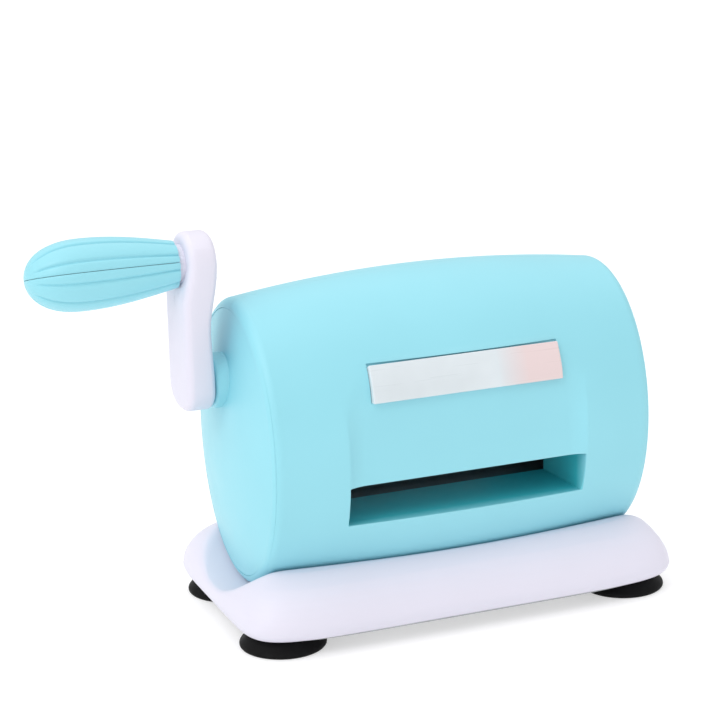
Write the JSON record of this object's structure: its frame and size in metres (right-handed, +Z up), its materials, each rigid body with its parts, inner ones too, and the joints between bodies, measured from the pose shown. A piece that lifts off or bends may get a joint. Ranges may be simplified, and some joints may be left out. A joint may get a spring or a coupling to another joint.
{
  "type": "die cutting machine",
  "caption": "Hand-cranked tabletop die cutting machine: barrel housing with a through feed slot, geared pressure rollers, crank with a free-spinning grip, and a cradle base on suction feet.",
  "frame": {"origin": "on the table, under the middle of the whole machine with its crank", "axes": "+X along the rollers, away from the crank; -Y is the labelled front; +Z up"},
  "size_m": [0.2014, 0.086, 0.1287],
  "materials": {
    "cyan_plastic": "satin moulded ABS, light aqua",
    "white_plastic": "satin moulded ABS, white with a faint lavender cast",
    "label_plastic": "satin pale grey printed strip, no print",
    "black_rubber": "satin moulded rubber",
    "steel": "turned and stamped steel",
    "brass": "sintered bearing bronze",
    "nylon": "natural nylon"
  },
  "bodies": {
    "root": {"front_shell": "cyan_plastic", "rear_shell": "cyan_plastic", "crank_side_cap": "cyan_plastic", "plain_side_cap": "cyan_plastic", "label_strip": "label_plastic", "base_cradle": "white_plastic", "base_plate": "steel", "foot_front_left": "black_rubber", "foot_front_right": "black_rubber", "foot_rear_left": "black_rubber", "foot_rear_right": "black_rubber", "foot_screws": "steel", "base_screws": "steel", "crank_side_plate": "steel", "gear_side_plate": "steel", "rod_front_top": "steel", "rod_front_low": "steel", "rod_rear_top": "steel", "rod_rear_low": "steel", "rod_spacers": "nylon", "rod_screws": "steel", "upper_left_bush": "brass", "upper_right_bush": "brass", "lower_left_bush": "brass", "lower_right_bush": "brass", "crank_plate_bush": "brass", "crank_cap_bush": "brass"},
    "upper_roller": {"upper_roller": "steel", "upper_shaft": "steel", "drive_gear": "nylon", "upper_sync_gear": "nylon", "upper_clips": "steel"},
    "lower_roller": {"lower_roller": "steel", "lower_shaft": "steel", "lower_sync_gear": "nylon", "lower_clips": "steel"},
    "crank": {"crank_shaft": "steel", "drive_pinion": "nylon", "crank_clip": "steel", "crank_arm": "white_plastic", "grip_spindle": "white_plastic", "spindle_washer": "steel", "spindle_screw": "steel"},
    "grip": {"grip_upper_half": "cyan_plastic", "grip_lower_half": "cyan_plastic"}
  },
  "joints": [
    {"name": "crank_turn", "type": "hinge", "parent": "root", "child": "crank", "pos_m": [-0.04932, 0, 0.0797], "axis": [1, 0, 0], "continuous": true},
    {"name": "grip_spin", "type": "hinge", "parent": "crank", "child": "grip", "pos_m": [-0.07832, 0, 0.1177], "axis": [1, 0, 0], "continuous": true},
    {"name": "upper_roller_turn", "type": "hinge", "parent": "root", "child": "upper_roller", "pos_m": [0.02668, 0, 0.0547], "axis": [1, 0, 0], "continuous": true},
    {"name": "lower_roller_turn", "type": "hinge", "parent": "root", "child": "lower_roller", "pos_m": [0.02668, 0, 0.0295], "axis": [1, 0, 0], "continuous": true}
  ],
  "couplings": [
    {"joint": "upper_roller_turn", "follows": "crank_turn", "ratio": -0.38889},
    {"joint": "lower_roller_turn", "follows": "crank_turn", "ratio": 0.38889}
  ]
}
